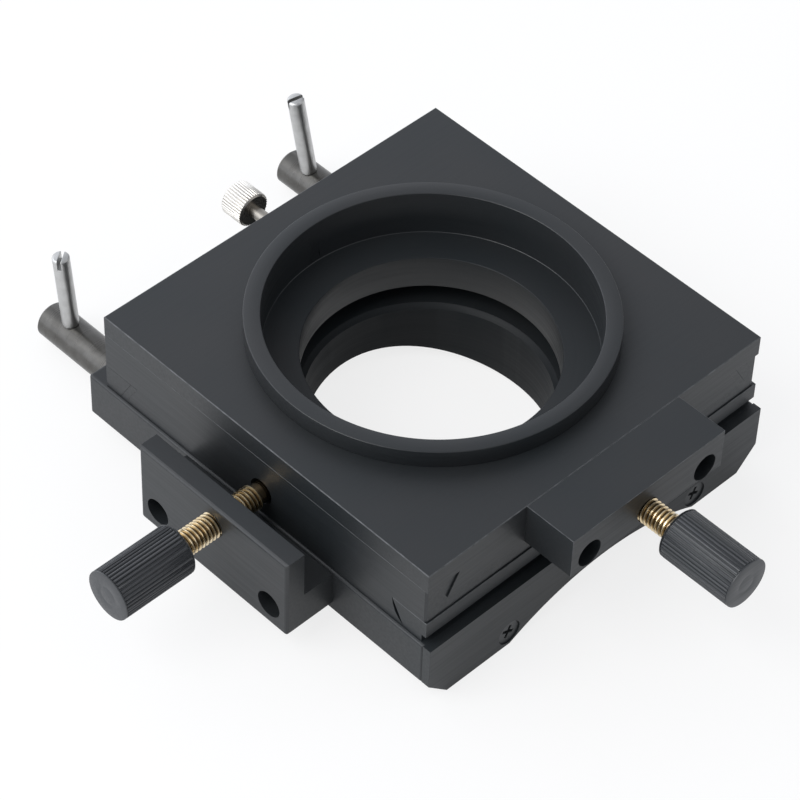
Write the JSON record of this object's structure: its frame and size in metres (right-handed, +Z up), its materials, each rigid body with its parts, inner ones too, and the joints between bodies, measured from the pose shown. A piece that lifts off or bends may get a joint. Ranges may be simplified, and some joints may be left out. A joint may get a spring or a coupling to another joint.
{
  "type": "mechanical microscope stage",
  "caption": "Two-axis microscope stage: a centring collar on crossed dovetail slides, moved by two knurled brass screws, with a clamping thumbscrew and rear pins.",
  "frame": {"origin": "on the collar's bore axis, in the upper face of the top plate", "axes": "+Z up along the collar's bore; +X away from the side bracket, along the lower slide's travel; +Y towards the rear posts, along the upper slide's travel"},
  "size_m": [0.1434, 0.1756, 0.0428],
  "materials": {
    "black_anodised": "satin",
    "black_steel": "satin",
    "black_knob": "satin",
    "black_screws": "matt",
    "plated_steel": "satin",
    "bare_steel": "polished",
    "nickel": "satin",
    "brass": "machined",
    "bronze_strip": "machined"
  },
  "bodies": {
    "base_group": {"base": "black_anodised", "front_cover": "black_anodised", "cover_screw_left": "plated_steel", "cover_screw_right": "plated_steel", "rail_front": "black_steel", "rail_rear": "black_steel", "rail_screw_front_left": "black_screws", "rail_screw_front_right": "black_screws", "rail_screw_rear_left": "black_screws", "rail_screw_rear_right": "black_screws", "x_gib": "black_steel", "x_gib_screw_left": "black_screws", "x_gib_screw_middle": "black_screws", "x_gib_screw_right": "black_screws", "bracket": "black_anodised", "bracket_screw_front": "black_screws", "bracket_screw_rear": "black_screws", "post_left": "black_steel", "post_right": "black_steel", "pin_left": "bare_steel", "pin_right": "bare_steel"},
    "slide_group": {"cross_slide": "black_anodised", "x_keeper": "bronze_strip", "y_keeper": "bronze_strip", "y_gib": "black_steel", "y_gib_screw_front": "black_screws", "y_gib_screw_middle": "black_screws", "y_gib_screw_rear": "black_screws"},
    "x_drive": {"x_screw": "brass", "x_knob": "black_knob"},
    "y_drive": {"y_screw": "brass", "y_knob": "black_knob"},
    "top_group": {"top_plate": "black_anodised", "collar": "black_anodised", "front_block": "black_anodised", "block_screw_left": "black_screws", "block_screw_right": "black_screws"},
    "tip_group": {"clamp_tip": "black_screws"},
    "thumb_group": {"thumbscrew": "nickel"}
  },
  "joints": [
    {"name": "x_travel", "type": "slide", "parent": "base_group", "child": "slide_group", "axis": [1, 0, 0], "range_m": [-0.003, 0.003]},
    {"name": "x_knob_turn", "type": "hinge", "parent": "slide_group", "child": "x_drive", "pos_m": [-0.0735, 0, -0.01512], "axis": [1, 0, 0], "range_deg": [-1090, 1090]},
    {"name": "y_travel", "type": "slide", "parent": "slide_group", "child": "top_group", "axis": [0, 1, 0], "range_m": [-0.003, 0.003]},
    {"name": "y_knob_turn", "type": "hinge", "parent": "slide_group", "child": "y_drive", "pos_m": [0.001, -0.0717, -0.00755], "axis": [0, 1, 0], "range_deg": [-1090, 1090]},
    {"name": "clamp_slide", "type": "slide", "parent": "top_group", "child": "tip_group", "axis": [0, -1, 0], "range_m": [0, 0.005]},
    {"name": "thumbscrew_turn", "type": "hinge", "parent": "tip_group", "child": "thumb_group", "pos_m": [0, 0.0569, -0.00545], "axis": [0, -1, 0], "range_deg": [-10, 3610]}
  ],
  "couplings": [
    {"joint": "x_knob_turn", "follows": "x_travel", "rad_per_m": 6283.2},
    {"joint": "y_knob_turn", "follows": "y_travel", "rad_per_m": -6283.2},
    {"joint": "thumbscrew_turn", "follows": "clamp_slide", "rad_per_m": 12566}
  ]
}
